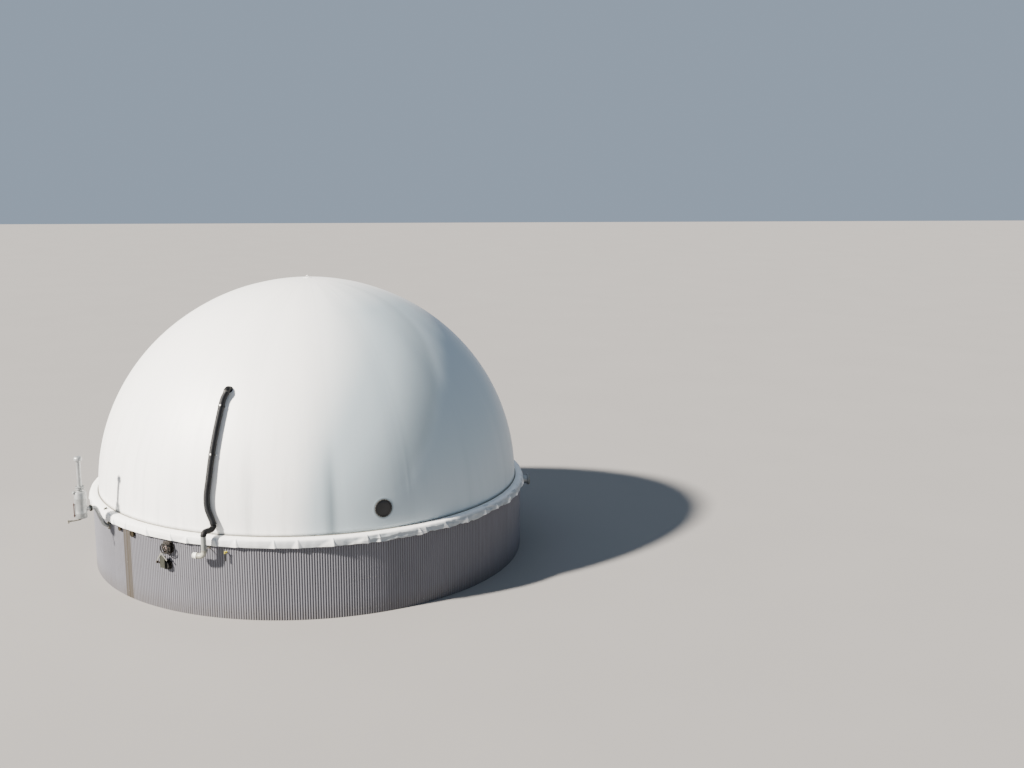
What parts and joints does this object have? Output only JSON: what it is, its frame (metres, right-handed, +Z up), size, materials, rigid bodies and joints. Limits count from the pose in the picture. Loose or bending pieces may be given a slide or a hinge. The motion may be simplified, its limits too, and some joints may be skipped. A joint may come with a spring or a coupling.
{
  "type": "biogas digester",
  "caption": "Round clad digester tank with an air-supported dome membrane, weather apron, sight glass, support-air hose, pressure relief device, slide valves and outlet nozzle.",
  "frame": {"origin": "centre of the tank's base, at the lowest ground line", "axes": "+Z up; -Y towards the side with the sight glass and the air hose; +X along the outlet nozzle"},
  "size_m": [15.08, 14.84, 9.4473],
  "materials": {
    "concrete": "cast, matt",
    "corrugated_sheet": "mill finish, corrugated",
    "membrane_fabric": "coated fabric, satin",
    "apron_fabric": "coated fabric, satin",
    "galvanised_steel": "hot-dip galvanised, weathered",
    "stainless_steel": "pickled",
    "black_rubber": "corrugated, satin",
    "grey_pipe": "extruded",
    "white_pipe": "moulded",
    "dark_glass": "flat, dark behind",
    "dark_paint": "worn satin",
    "rusty_iron": "rusty",
    "yellow_paint": "gloss",
    "grey_paint": "worn, matt"
  },
  "bodies": {
    "root": {"tank_floor": "concrete", "concrete_wall_front": "concrete", "concrete_wall_right": "concrete", "concrete_wall_back": "concrete", "concrete_wall_left": "concrete", "wall_cladding_front": "corrugated_sheet", "wall_cladding_right": "corrugated_sheet", "wall_cladding_back": "corrugated_sheet", "wall_cladding_left": "corrugated_sheet", "outer_membrane": "membrane_fabric", "crown_lifting_eye": "membrane_fabric", "weather_apron_front": "apron_fabric", "weather_apron_right": "apron_fabric", "weather_apron_back": "apron_fabric", "weather_apron_left": "apron_fabric", "membrane_clamp_rail": "galvanised_steel", "porthole_ring": "galvanised_steel", "riser_bracket": "galvanised_steel", "relief_inlet_pipe": "galvanised_steel", "relief_drain_pipe": "galvanised_steel", "relief_wall_flange": "galvanised_steel", "lower_valve_lever": "galvanised_steel", "outlet_blank_flange": "galvanised_steel", "relief_valve_body": "stainless_steel", "relief_valve_collar": "stainless_steel", "relief_vent_pipe": "stainless_steel", "relief_vent_cap": "stainless_steel", "hose_inlet_elbow": "black_rubber", "support_air_hose": "black_rubber", "hose_foot_bend": "black_rubber", "riser_pipe": "grey_pipe", "riser_elbow": "grey_pipe", "hose_strap_upper": "grey_pipe", "hose_strap_lower": "grey_pipe", "riser_end_socket": "white_pipe", "porthole_glass": "dark_glass", "apron_port_cap": "dark_paint", "upper_valve_handwheel": "dark_paint", "lower_slide_valve": "dark_paint", "gas_tap_pipe": "dark_paint", "outlet_nozzle": "dark_paint", "capped_stub_left": "rusty_iron", "capped_stub_right": "rusty_iron", "relief_level_tube": "rusty_iron", "upper_slide_valve": "rusty_iron", "lower_valve_spindle": "rusty_iron", "lower_valve_housing": "grey_paint", "gas_tap": "yellow_paint"}
  },
  "joints": []
}
